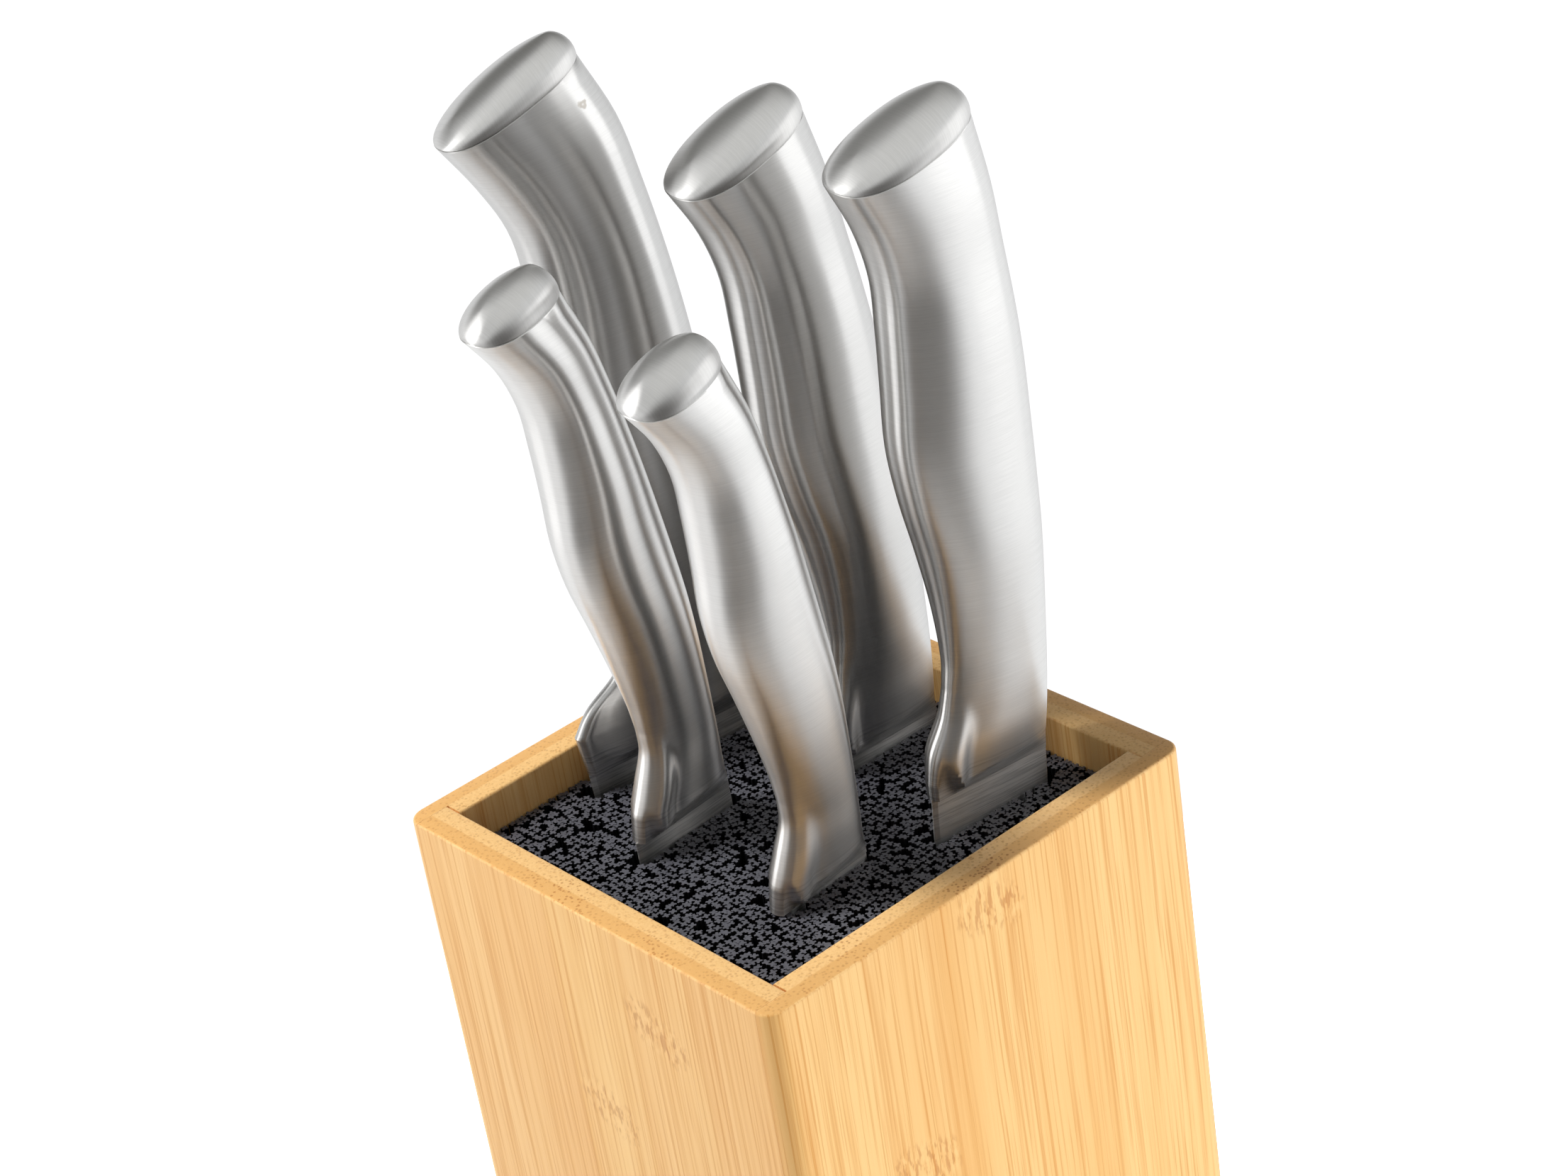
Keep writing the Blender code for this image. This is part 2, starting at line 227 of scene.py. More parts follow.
def make_world():
    """The tent as metal shows it, with a weaker, even light for everything matt."""
    world = bpy.data.worlds.new("tent")
    world.use_nodes = True
    tree = world.node_tree
    ray = add_node(tree, "TexCoord").outputs["Generated"]

    def towards(direction):
        return add_node(tree, "VectorMath", {0: ray, 1: direction}, operation="DOT_PRODUCT").outputs["Value"]

    rise = towards((0, 0, 1))
    tone = mix(tree, fade(tree, towards(SIDE), -0.25, 0.35), LEFT_TONE, RIGHT_TONE)
    tone = mix(tree, fade(tree, towards(-VIEW), 0.5, 0.95), tone, BACK_TONE)
    upper = mix(tree, fade(tree, towards(SIDE), -0.30, 0.35), UPPER_LEFT_TONE, UPPER_RIGHT_TONE)
    upper = mix(tree, fade(tree, towards(-VIEW), 0.30, 0.62), upper, UPPER_BACK_TONE)
    tone = mix(tree, fade(tree, rise, 0.15, 0.42), tone, upper)
    tone = mix(tree, fade(tree, rise, 0.80, 0.96), tone, TOP_TONE)
    tone = mix(tree, fade(tree, towards(VIEW), DARK_START, DARK_END), tone, DARK_TONE)
    path = add_node(tree, "LightPath").outputs
    tone = mix(tree, path["Is Glossy Ray"], EVEN_TONE, tone)
    tone = mix(tree, path["Is Camera Ray"], tone, SEEN_TONE)
    tree.links.new(tone, tree.nodes["Background"].inputs["Color"])
    bpy.context.scene.world = world


FLOOR_GLOW = 0.02
LEFT_TONE = (1.12, 1.13, 1.14, 1.0)
RIGHT_TONE = (1.22, 1.24, 1.26, 1.0)
BACK_TONE = (0.92, 0.93, 0.94, 1.0)
UPPER_BACK_TONE = (0.22, 0.22, 0.21, 1.0)
UPPER_LEFT_TONE = (0.74, 0.75, 0.75, 1.0)
UPPER_RIGHT_TONE = (1.12, 1.14, 1.15, 1.0)
TOP_TONE = (0.98, 0.99, 0.98, 1.0)
DARK_TONE = (0.13, 0.125, 0.12, 1.0)
EVEN_TONE = (0.20, 0.20, 0.20, 1.0)
SEEN_TONE = (1.05, 1.05, 1.05, 1.0)
DARK_START, DARK_END = 0.40, 0.80
LAMP_RISE = Vector((0, 0, 0.25))
MIDDLE = Vector((0.0, 0.0, 0.26))
make_floor()
make_world()
add_softbox("left_light", MIDDLE - SIDE * LIGHT_REACH + LAMP_RISE, MIDDLE, 0.35, 0.9, 2.0)
add_softbox("right_light", MIDDLE + SIDE * LIGHT_REACH + LAMP_RISE, MIDDLE, 0.6, 0.9, 1.6)
LOW_MIDDLE = Vector((0.0, 0.0, 0.12))
add_softbox("left_fill", LOW_MIDDLE + Vector((-0.25, -0.9, 0)), LOW_MIDDLE, 0.7, 0.3, 1.4, False)
add_softbox("right_fill", LOW_MIDDLE + Vector((0.9, 0.25, 0)), LOW_MIDDLE, 0.7, 0.3, 6.1, False)
add_softbox("corner_fill", LOW_MIDDLE + VIEW * 0.95, LOW_MIDDLE, 0.3, 0.3, 0.8, False)
add_softbox("key", MIDDLE + Vector((-0.42, -0.33, 0.85)), MIDDLE, 0.3, 0.3, 10.0, False)
bpy.context.scene.view_settings.view_transform = "Standard"

# %% [markdown]
# ## From bmesh to finished piece
# One helper turns a bmesh into an object, shades it smooth up to a given angle, gives it its
# material, ties it to its body, and hides the plain nodes that it stands for.


# %% Helper that finishes a piece
def finish_piece(built, name, finish, body, stands_for=(), sharp=35.0):
    bmesh.ops.recalc_face_normals(built, faces=built.faces)
    mesh = bpy.data.meshes.new(name)
    built.to_mesh(mesh)
    built.free()
    mesh.shade_smooth()
    mesh.set_sharp_from_angle(angle=radians(sharp))
    mesh.materials.append(finish)
    piece = bpy.data.objects.new(name, mesh)
    bpy.context.scene.collection.objects.link(piece)
    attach(piece, body)
    if stands_for:
        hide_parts(*stands_for)
    print(f"{name}: {len(mesh.polygons)} faces")
    return piece


# %% [markdown]
# ## Bamboo
# Bamboo boards are glued up from strips, each cut from one stalk. The fibres run straight up, so
# the same pattern that draws long streaks on a board's face shows as rows of dots on its end. A
# pattern in three dimensions that is stretched along the height gives both at once. Knuckles, the
# stalk's joints, cross a strip as a small patch of short dark dashes.

# %% Make the bamboo finish
STRIP_WIDTH = 0.0195
ROOT_HEIGHT = 0.210
LIGHT_BAMBOO = colour(248, 205, 137)
DEEP_BAMBOO = colour(231, 174, 98)
PINK_BAMBOO = colour(238, 185, 120)
STREAK_BAMBOO = colour(214, 146, 66)
END_BAMBOO = colour(244, 199, 133)
PLY_BAMBOO = colour(226, 170, 98)
DOT_BAMBOO = colour(176, 108, 44)
KNUCKLE_BAMBOO = colour(186, 112, 44)


def bamboo_finish(name, along, seed, pinkness, knuckles=()):
    """along is 0 for a board that runs along X, 1 along Y. A knuckle is (place along, height) in m."""
    made, tree, shader = new_finish(name, 0.42)
    place = add_node(tree, "TexCoord").outputs["Object"]
    axes = add_node(tree, "SeparateXYZ", {0: place}).outputs
    run, depth, height = axes[along], axes[1 - along], axes[2]
    moved = add_node(tree, "VectorMath", {0: place, 1: (seed, seed * 0.7, 0)}, operation="ADD").outputs[0]
    wobble = grain(tree, stretched(tree, moved, (1, 1, 0.35)), 35.0)
    sway = calc(tree, "MULTIPLY", calc(tree, "SUBTRACT", wobble, 0.5), 0.0012)
    bent = add_node(
        tree, "VectorMath",
        {0: moved, 1: add_node(tree, "CombineXYZ", {0: sway, 1: sway}).outputs[0]}, operation="ADD",
    ).outputs[0]
    strips = calc(tree, "DIVIDE", calc(tree, "ADD", run, seed * 0.01), STRIP_WIDTH)
    strip = calc(tree, "ADD", calc(tree, "FLOOR", strips), seed)
    strip_tone = add_node(tree, "TexWhiteNoise", {"W": strip}, noise_dimensions="1D").outputs["Value"]
    broad = grain(tree, stretched(tree, bent, (1, 1, 0.02)), 110.0, 3.0)
    streaks = grain(tree, stretched(tree, bent, (1, 1, 0.012)), 620.0, 3.0, 0.6)
    hairs = grain(tree, stretched(tree, bent, (1, 1, 0.008)), 1700.0, 2.0, 0.7)
    tone = mix(tree, calc(tree, "MULTIPLY", fade(tree, broad, 0.35, 0.75), 0.75), LIGHT_BAMBOO, DEEP_BAMBOO)
    tone = mix(tree, calc(tree, "MULTIPLY", strip_tone, pinkness), tone, PINK_BAMBOO)
    tone = mix(tree, calc(tree, "MULTIPLY", fade(tree, streaks, 0.50, 0.70), 0.5), tone, STREAK_BAMBOO)
    tone = mix(tree, calc(tree, "MULTIPLY", fade(tree, hairs, 0.5, 0.66), 0.62), tone, STREAK_BAMBOO)
    tone = mix(tree, calc(tree, "MULTIPLY", fade(tree, streaks, 0.45, 0.25), 0.45), tone, LIGHT_BAMBOO)
    seam = calc(tree, "ABSOLUTE", calc(tree, "SUBTRACT", calc(tree, "FRACT", strips), 0.5))
    seam = calc(tree, "MULTIPLY", fade(tree, seam, 0.494, 0.499), 0.30)
    tone = mix(tree, seam, tone, STREAK_BAMBOO)

    facing = add_node(tree, "NewGeometry").outputs["Normal"]
    end_face = fade(tree, add_node(tree, "SeparateXYZ", {0: facing}).outputs[2], 0.75, 0.9)
    tubes = stretched(tree, moved, (1, 1, 0.004))
    cells = add_node(tree, "TexVoronoi", {"Vector": tubes, "Scale": 1300.0}).outputs["Distance"]
    crowd = fade(tree, grain(tree, tubes, 90.0, 2.0), 0.52, 0.68)
    ply = fade(tree, calc(tree, "ABSOLUTE", depth), 0.0463, 0.0467)
    end_tone = mix(tree, calc(tree, "MULTIPLY", ply, 0.7), END_BAMBOO, PLY_BAMBOO)
    end_tone = mix(tree, calc(tree, "MULTIPLY", fade(tree, hairs, 0.4, 0.7), 0.4), end_tone, PLY_BAMBOO)
    dots = fade(tree, cells, 0.42, 0.22)
    dots = calc(tree, "MULTIPLY", dots, calc(tree, "ADD", 0.30, calc(tree, "MULTIPLY", crowd, 0.35)))
    end_tone = mix(tree, dots, end_tone, DOT_BAMBOO)

    marks = None
    on_end = None
    for knuckle_run, knuckle_height in knuckles:
        side = calc(tree, "DIVIDE", calc(tree, "SUBTRACT", run, knuckle_run), 0.0085)
        rise = calc(tree, "SUBTRACT", height, knuckle_height)
        rise = calc(tree, "ADD", rise, calc(tree, "MULTIPLY", side, 0.0024))
        rise = calc(tree, "DIVIDE", rise, 0.0055)
        away = calc(tree, "ADD", calc(tree, "POWER", calc(tree, "ABSOLUTE", side), 4.0),
                    calc(tree, "POWER", calc(tree, "ABSOLUTE", rise), 2.0))
        patch = fade(tree, away, 1.1, 0.25)
        marks = patch if marks is None else calc(tree, "MAXIMUM", marks, patch)
        near = calc(tree, "MULTIPLY", fade(tree, calc(tree, "ABSOLUTE", side), 1.0, 0.8), ply)
        near = calc(tree, "MULTIPLY", near, 1.0 if knuckle_height > ROOT_HEIGHT else 0.0)
        on_end = near if on_end is None else calc(tree, "MAXIMUM", on_end, near)
    if marks is not None:
        dashes = grain(tree, stretched(tree, bent, (1, 1, 0.3)), 1000.0, 2.0, 0.6)
        pale = calc(tree, "MULTIPLY", fade(tree, dashes, 0.46, 0.34), marks)
        dashes = calc(tree, "MULTIPLY", fade(tree, dashes, 0.50, 0.62), marks)
        tone = mix(tree, calc(tree, "MULTIPLY", pale, 0.6), tone, LIGHT_BAMBOO)
        tone = mix(tree, calc(tree, "MULTIPLY", dashes, 0.5), tone, KNUCKLE_BAMBOO)
        holes = calc(tree, "MULTIPLY", fade(tree, cells, 0.38, 0.26), on_end)
        end_tone = mix(tree, calc(tree, "MULTIPLY", holes, 0.6), end_tone, DOT_BAMBOO)
    tone = mix(tree, end_face, tone, end_tone)
    link_input(tree, tone, shader, "Base Color")
    shine = calc(tree, "ADD", 0.34, calc(tree, "MULTIPLY", streaks, 0.22))
    link_input(tree, shine, shader, "Roughness")
    shader.inputs["Coat Weight"].default_value = 0.15
    shader.inputs["Coat Roughness"].default_value = 0.3
    add_bump(tree, shader, calc(tree, "ADD", hairs, streaks), 0.00006)
    return made


# %% [markdown]
# ## The four boards
# The side boards wear a rabbet: their outer half runs on to the corner, and the front and back
# boards stop against it. Each board starts as a cube that is scaled to the frame's box, because
# that keeps its corners square until they are eased. For a side board the outer half comes first,
# and the middle of its inner face is then pushed inwards.

# %% Measure and build the boards
EDGE_EASE = 0.0006
CORNER_ROUND = 0.0036
front_low, front_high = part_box("wall_front")
right_low, right_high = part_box("wall_right")
rabbet_x = (right_low.x + right_high.x) / 2
joint_y = right_high.y - (right_high.x - right_low.x)
GLUE_LINE = 0.00005


def cube_between(low, high):
    built = bmesh.new()
    bmesh.ops.create_cube(built, size=1.0)
    bmesh.ops.scale(built, vec=high - low, verts=built.verts)
    bmesh.ops.translate(built, vec=(low + high) / 2, verts=built.verts)
    return built


def ease_edges(built, chosen, width, segments):
    bmesh.ops.bevel(
        built, geom=chosen, offset=width, segments=segments, profile=0.5,
        affect="EDGES", material=-1, offset_type="OFFSET", clamp_overlap=True,
    )


def middle_of(edge):
    return (edge.verts[0].co + edge.verts[1].co) / 2


def level_edges(built, skip):
    """The top and bottom edges, leaving out those that a test skips."""
    chosen = []
    for edge in built.edges:
        flat = abs(edge.verts[0].co.z - edge.verts[1].co.z) < 1e-6
        if flat and len(edge.link_faces) == 2 and edge.calc_face_angle() > 1.0:
            if not skip(middle_of(edge)):
                chosen.append(edge)
    return chosen


def make_end_board(name, side):
    """The front or back board, between the side boards' rabbets."""
    half = rabbet_x - GLUE_LINE
    inner, outer = sorted((side * joint_y, side * right_high.y))
    low, high = Vector((-half, inner, front_low.z)), Vector((half, outer, front_high.z))
    built = cube_between(low, high)
    ease_edges(built, level_edges(built, lambda m: abs(m.x) > half - 1e-5), EDGE_EASE, 3)
    return built


def make_side_board(name, side):
    """A side board: its outer half to the full width, and its inner half between the rabbets."""
    low = Vector((rabbet_x, -right_high.y, front_low.z))
    high = Vector((right_high.x, right_high.y, front_high.z))
    built = cube_between(low, high)
    lip = joint_y - GLUE_LINE
    for y in (-lip, lip):
        everything = built.verts[:] + built.edges[:] + built.faces[:]
        bmesh.ops.bisect_plane(built, geom=everything, plane_co=(0, y, 0), plane_no=(0, 1, 0))
    centre = next(
        face for face in built.faces
        if face.normal.x < -0.5 and abs(face.calc_center_median().y) < 1e-4
    )
    grown = bmesh.ops.extrude_face_region(built, geom=[centre])
    moved = [item for item in grown["geom"] if isinstance(item, bmesh.types.BMVert)]
    bmesh.ops.translate(built, vec=(right_low.x - rabbet_x, 0, 0), verts=moved)
    bmesh.ops.delete(built, geom=[f for f in built.faces if f is centre], context="FACES_ONLY")
    corners = [
        edge for edge in built.edges
        if abs(middle_of(edge).y) > right_high.y - 1e-5 and middle_of(edge).x > right_high.x - 1e-5
    ]
    ease_edges(built, corners, CORNER_ROUND * 0.98, 8)
    inner_edge = right_low.x + 1e-5

    def on_joint(m):
        return abs(m.y) > joint_y - 1e-4 and inner_edge < m.x < rabbet_x + 1e-5

    ease_edges(built, level_edges(built, on_joint), EDGE_EASE, 3)
    if side < 0:
        bmesh.ops.rotate(built, verts=built.verts, matrix=Matrix.Rotation(pi, 3, "Z"))
    return built


KNUCKLES = {
    "wall_front": [(0.0170, 0.2070), (-0.0018, 0.1812)],
    "wall_right": [(0.0, 0.2185), (-0.0218, 0.177)],
    "wall_back": [(0.030, 0.150), (-0.010, 0.118)],
    "wall_left": [(-0.020, 0.176), (0.018, 0.090)],
}
for name, side, along, seed, pinkness in (
    ("wall_front", -1, 0, 3.0, 0.5), ("wall_back", 1, 0, 11.0, 0.5),
    ("wall_left", -1, 1, 7.0, 0.4), ("wall_right", 1, 1, 5.0, 0.2),
):
    finish = bamboo_finish("bamboo_" + name, along, seed, pinkness, KNUCKLES[name])
    maker = make_side_board if along else make_end_board
    finish_piece(maker(name, side), name + "_board", finish, "block", [name], sharp=40)

# %% [markdown]
# ## Base, feet and rod plate
# The base board and the plate under the rods keep their plain shapes and only get their finish.
# Each foot is turned: a short profile is spun round its own axis, which gives its rounded rim.

# %% Finish the base and spin the feet
base = frame["nodes"]["base_board"]
base.data.materials.clear()
base.data.materials.append(bamboo_finish("bamboo_base", 0, 17.0, 0.4))


def rubber_finish():
    made, tree, shader = new_finish("foot_rubber", 0.75)
    place = add_node(tree, "TexCoord").outputs["Object"]
    speckle = grain(tree, place, 900.0, 3.0)
    link_input(tree, mix(tree, speckle, colour(38, 38, 40), colour(58, 57, 57)), shader, "Base Color")
    add_bump(tree, shader, speckle, 0.00008)
    return made


def make_foot(node):
    low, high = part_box(node)
    radius = (high.x - low.x) / 2
    centre = (low + high) / 2
    rim = (high.z - low.z) * 0.4
    built = bmesh.new()
    path = [(0.0, high.z), (radius, high.z), (radius, low.z + rim)]
    for i in range(1, 5):
        turn = pi / 2 * i / 4
        path.append((radius - rim * (1 - cos(turn)), low.z + rim * (1 - sin(turn))))
    path += [(radius * 0.45, low.z), (radius * 0.38, low.z + rim), (0.0, low.z + rim)]
    points = [built.verts.new((centre.x + x, centre.y, z)) for x, z in path]
    edges = [built.edges.new(pair) for pair in zip(points, points[1:])]
    bmesh.ops.spin(
        built, geom=points + edges, cent=centre, axis=(0, 0, 1), angle=2 * pi, steps=40,
        use_merge=True, use_duplicate=False,
    )
    bmesh.ops.remove_doubles(built, verts=built.verts, dist=1e-6)
    return built


rubber = rubber_finish()
for node in sorted(name for name in frame["nodes"] if name.startswith("foot_")):
    finish_piece(make_foot(node), node + "_turned", rubber, "block", [node])

# %% [markdown]
# ## Reading a knife from its plain nodes
# Each knife stands at its own small lean, so it is measured in a frame of its own. Up is the axis
# that it slides along. A knife is the same on both sides, so the direction in which the blade's
# points spread least is exactly across it. Its zero is the back of the blade, where the bolster
# starts. In that frame the plain nodes are stacks of rings, and each ring gives the handle's back
# line, belly line, thickness and slope at its height.

# %% Measure every knife
RING_POINTS = 12
FULLNESS = 2.3
CAP_LEAN = 0.10
DIAGONAL = cos(pi / 4) ** (2 / FULLNESS)


def points_of(*nodes):
    """The nodes' corner points, each once."""
    found = [v.co[:] for node in nodes for v in frame["nodes"][node].data.vertices]
    return np.unique(np.array(found).round(6), axis=0)


def knife_frame(name):
    """The matrix from the knife's own frame to the world."""
    joint = next(j for j in frame["joints"] if j["name"] == name + "_pull")
    up = Vector(joint["axis"]).normalized()
    blade = points_of(name + "_blade")
    across = Vector(np.linalg.eigh(np.cov(blade.T))[1][:, 0])
    across = (across - up * across.dot(up)).normalized()
    if across.x < 0:
        across.negate()
    turn = Matrix((across, up.cross(across), up))
    blade = blade @ np.array(turn).T
    bolster = points_of(name + "_bolster") @ np.array(turn).T
    middle = (blade[:, 0].max() + blade[:, 0].min()) / 2
    zero = Vector((middle, blade[:, 1].max(), bolster[:, 2].min()))
    back_turn = turn.transposed()
    return Matrix.Translation(back_turn @ zero) @ back_turn.to_4x4()


def rings_of(points, gap, least=RING_POINTS):
    """Splits points into rings: a new one starts where the height jumps by more than the gap."""
    stacked = points[points[:, 2].argsort()]
    breaks = np.where(np.diff(stacked[:, 2]) > gap)[0] + 1
    return [ring for ring in np.split(stacked, breaks) if len(ring) >= least]


def width_at(ring, y):
    close = ring[np.abs(ring[:, 1] - y) < 0.0004]
    return np.abs(close[:, 0]).max() if len(close) else 0.0


def read_ring(ring):
    """(height, back, belly, half thickness, how much the belly narrows, slope) of one ring."""
    back, belly = ring[ring[:, 1].argmax()], ring[ring[:, 1].argmin()]
    centre, reach = (back[1] + belly[1]) / 2, (back[1] - belly[1]) / 2
    ratio = width_at(ring, centre - reach * DIAGONAL) / width_at(ring, centre + reach * DIAGONAL)
    share = sin(pi / 8) ** 2
    narrow = (1 - ratio) / (1 - share - share * ratio)
    half = width_at(ring, centre) / (1 - narrow / 2)
    slope = (back[2] - belly[2]) / (back[1] - belly[1])
    return ((back[2] + belly[2]) / 2, back[1], belly[1], half, narrow, slope)


def dome_height(cap, end):
    """How far the cap's dome stands above the handle's end, at its middle."""
    slope, middle = end[5] + CAP_LEAN, (end[1] + end[2]) / 2
    return (cap[:, 2] - slope * (cap[:, 1] - middle)).max() - end[0]


def measure_knife(name):
    place = knife_frame(name)
    to_knife = np.array(place.inverted())

    def own(*nodes):
        return points_of(*nodes) @ to_knife[:3, :3].T + to_knife[:3, 3]

    bolster = own(name + "_bolster")
    shells = own(name + "_handle_left", name + "_handle_right")
    cap = own(name + "_end_cap")
    blade = own(name + "_blade")
    collar_top = shells[:, 2].min()
    rings = rings_of(bolster, 0.0025)
    foot = rings[0][np.abs(rings[0][:, 2]) < 1e-4]
    collar = [r for r in rings[1:] if r[:, 2].max() < collar_top]
    stations = [read_ring(r) for r in collar + rings_of(shells, 0.0025)]
    outline = [
        (r[:, 2].mean(), r[:, 1].max(), r[:, 1].min(), np.abs(r[:, 0]).max())
        for r in rings_of(blade[blade[:, 2] < 0.0], 0.0003, 4)
    ]
    return {
        "place": place,
        "foot": (foot[:, 1].max(), foot[:, 1].min(), np.abs(foot[:, 0]).max()),
        "stations": stations,
        "dome": dome_height(cap, stations[-1]),
        "blade": outline,
    }


knives = {name: measure_knife(name) for name in KNIFE_NAMES}
for name, knife in knives.items():
    top = knife["stations"][-1][0] / MM
    print(f"{name}: handle {top:.1f} mm, blade {-knife['blade'][0][0] / MM:.1f} mm, "
          f"{len(knife['stations'])} handle rings, {len(knife['blade'])} blade rings")

# %% [markdown]
# ## Curves through the measured rings
# A handful of rings is enough to fix the shape, but a polished handle shows every kink. A smooth
# curve through the rings gives as many sections between them as the finish needs.


# %% Helpers for smooth sections
def on_curve(rows, at, column):
    """A column's value at a height, on a smooth curve (Catmull-Rom) through the rows."""
    last = len(rows) - 1
    at = min(max(at, rows[0][0]), rows[last][0])
    i = next(k for k in range(last) if at <= rows[k + 1][0])
    slopes = []
    for k in (i, i + 1):
        low, high = max(k - 1, 0), min(k + 1, last)
        slopes.append((rows[high][column] - rows[low][column]) / (rows[high][0] - rows[low][0]))
    span = rows[i + 1][0] - rows[i][0]
    s = (at - rows[i][0]) / span
    return (
        (2 * s**3 - 3 * s**2 + 1) * rows[i][column]
        + (s**3 - 2 * s**2 + s) * span * slopes[0]
        + (3 * s**2 - 2 * s**3) * rows[i + 1][column]
        + (s**3 - s**2) * span * slopes[1]
    )


def fuller(value, fullness=FULLNESS):
    return copysign(abs(value) ** (2 / fullness), value)


def section(station, count, inset=0.0, lift=0.0, fullness=FULLNESS):
    """A ring of points round the handle: it starts at the back and passes the belly half way."""
    height, back, belly, half, narrow, slope = station
    centre, reach = (back + belly) / 2, (back - belly) / 2 - inset
    thick = max(half - inset, 0.0)
    ring = []
    for i in range(count):
        angle = 2 * pi * i / count
        across = thick * fuller(sin(angle), fullness) * (1 - narrow * (1 - cos(angle)) / 2)
        along = reach * fuller(cos(angle), fullness)
        ring.append(Vector((across, centre + along, height + slope * along + lift)))
    return ring


def station_at(stations, height):
    return (height, *[on_curve(stations, height, column) for column in range(1, 6)])


def wrap(rings, place):
    """Rolls a grid into a tube through the rings and closes both ends."""
    built = bmesh.new()
    count = len(rings[0])
    bmesh.ops.create_grid(built, x_segments=count, y_segments=len(rings) - 1, size=0.5)
    built.verts.ensure_lookup_table()
    for i, vert in enumerate(built.verts):
        row, column = divmod(i, count + 1)
        vert.co = place @ rings[row][column % count]
    bmesh.ops.remove_doubles(built, verts=built.verts, dist=2e-6)
    bmesh.ops.dissolve_degenerate(built, edges=built.edges, dist=1e-6)
    open_edges = [edge for edge in built.edges if len(edge.link_faces) == 1]
    bmesh.ops.holes_fill(built, edges=open_edges, sides=0)
    return built


# %% [markdown]
# ## Steel
# The handles are satin steel, brushed crosswise by a belt, so the light is drawn out along the
# knife and the surface carries fine lines round it. The lines come from a noise that is squeezed
# along the brushing and drawn out across it. A Mapping node first turns the pattern into the
# knife's own frame, so that the lines follow each knife's lean.


# %% Make the steel finishes
def steel_finish(name, place, stretch, draw, roughness, shade, pit=None):
    """stretch says how often the lines repeat along each of the knife's own axes, per metre.
    draw is the direction, in the knife's own frame, along which they draw the light out.
    shade darkens the piece by that share. It is painted shade, which stands in for the darker surroundings
    that the piece reflects.
    It is chosen for the piece's tone beside the others, and doesn't stand for another steel."""
    made, tree, shader = new_finish(name, roughness, 1.0)
    turned = add_node(
        tree, "Mapping",
        {"Vector": add_node(tree, "TexCoord").outputs["Object"],
         "Rotation": place.to_3x3().inverted().to_euler("XYZ"),
         "Location": place.inverted().translation},
    ).outputs[0]
    lines = grain(tree, stretched(tree, turned, stretch), 1.0, 4.0, 0.65)
    cloud = grain(tree, turned, 45.0, 2.0)
    tone = mix(tree, fade(tree, lines, 0.3, 0.7), BRIGHT_STEEL, DULL_STEEL)
    tone = mix(tree, calc(tree, "MULTIPLY", cloud, 0.2), tone, CLOUD_STEEL)
    ground = grain(tree, stretched(tree, turned, GRIND_STRETCH), 1.0, 3.0, 0.7)
    low = fade(tree, add_node(tree, "SeparateXYZ", {0: turned}).outputs[2], GRIND_TOP, GRIND_FULL)
    ground = calc(tree, "MULTIPLY", calc(tree, "MULTIPLY", fade(tree, ground, 0.42, 0.62), low), 0.45)
    tone = mix(tree, ground, tone, GROUND_STEEL)
    # Painted shade: a brownish-grey ring stands in for the shading round a small dent, which the handle's
    # shape doesn't have.
    if pit is not None:
        flat = stretched(tree, turned, (PIT_THROUGH, 1, 1))
        centre = (PIT_THROUGH * pit[0], pit[1], pit[2])
        away = add_node(tree, "VectorMath", {0: flat, 1: centre}, operation="DISTANCE").outputs["Value"]
        away = calc(tree, "ADD", away, calc(tree, "MULTIPLY", grain(tree, turned, 700.0), PIT_ROUGH))
        ring = calc(tree, "MULTIPLY", fade(tree, away, *PIT_OUTSIDE), fade(tree, away, *PIT_INSIDE))
        tone = mix(tree, calc(tree, "MULTIPLY", ring, 0.6), tone, PIT_PAINTED_SHADE)
    # Painted shade: the whole piece is mixed towards black by its share.
    tone = mix(tree, shade, tone, BLACK)
    link_input(tree, tone, shader, "Base Color")
    rough = calc(tree, "ADD", calc(tree, "MULTIPLY", lines, 0.03), roughness - 0.015)
    rough = calc(tree, "ADD", rough, calc(tree, "MULTIPLY", calc(tree, "SUBTRACT", cloud, 0.5), 0.05))
    link_input(tree, rough, shader, "Roughness")
    shader.inputs["Anisotropic"].default_value = 0.93
    up = add_node(tree, "CombineXYZ", dict(enumerate(place.to_3x3() @ Vector(draw)))).outputs[0]
    link_input(tree, up, shader, "Tangent")
    return made


BRIGHT_STEEL, DULL_STEEL = colour(222, 221, 219), colour(212, 211, 209)
CLOUD_STEEL, GROUND_STEEL = colour(212, 208, 205), colour(128, 129, 131)
PIT_PAINTED_SHADE, BLACK = colour(146, 136, 122), colour(0, 0, 0)
GRIND_STRETCH, GRIND_TOP, GRIND_FULL = (60, 60, 2400), 0.0065, 0.0035
PIT_THROUGH, PIT_ROUGH = 0.2, 0.0016
PIT_OUTSIDE, PIT_INSIDE = (0.0018, 0.0014), (0.0007, 0.0012)

# %% [markdown]
# ## Handles
# The real handle is two pressed shells and a cast bolster, welded and ground until no seam is
# left, so one skin stands for all three here. It is rolled from a grid: every row of the grid
# becomes one section of the handle. At its foot the bolster is ground down to the blade by a
# cove: its upper edge is a crease that falls from the back to the belly, and at the nose it climbs
# again and leaves a small flat end. The handle's end is eased by a hair before the cap.

# %% Build the handles
AROUND = 72
COLLAR_STEP = 0.0011
SHELL_STEP = 0.0022
WELD_EASE = 0.00018


def steps_between(low, high, step):
    count = max(1, round((high - low) / step))
    return [low + (high - low) * i / count for i in range(1, count + 1)]


def foot_ring(knife, count):
    """The flat-sided foot of the bolster, where the blade comes out."""
    back, belly, half = knife["foot"]
    centre, reach = (back + belly) / 2, (back - belly) / 2
    ring = []
    for i in range(count):
        angle = 2 * pi * i / count
        across = half * min(1.0, max(-1.0, 3.0 * sin(angle)))
        ring.append(Vector((across, centre + reach * fuller(cos(angle)), 0.0)))
    return ring


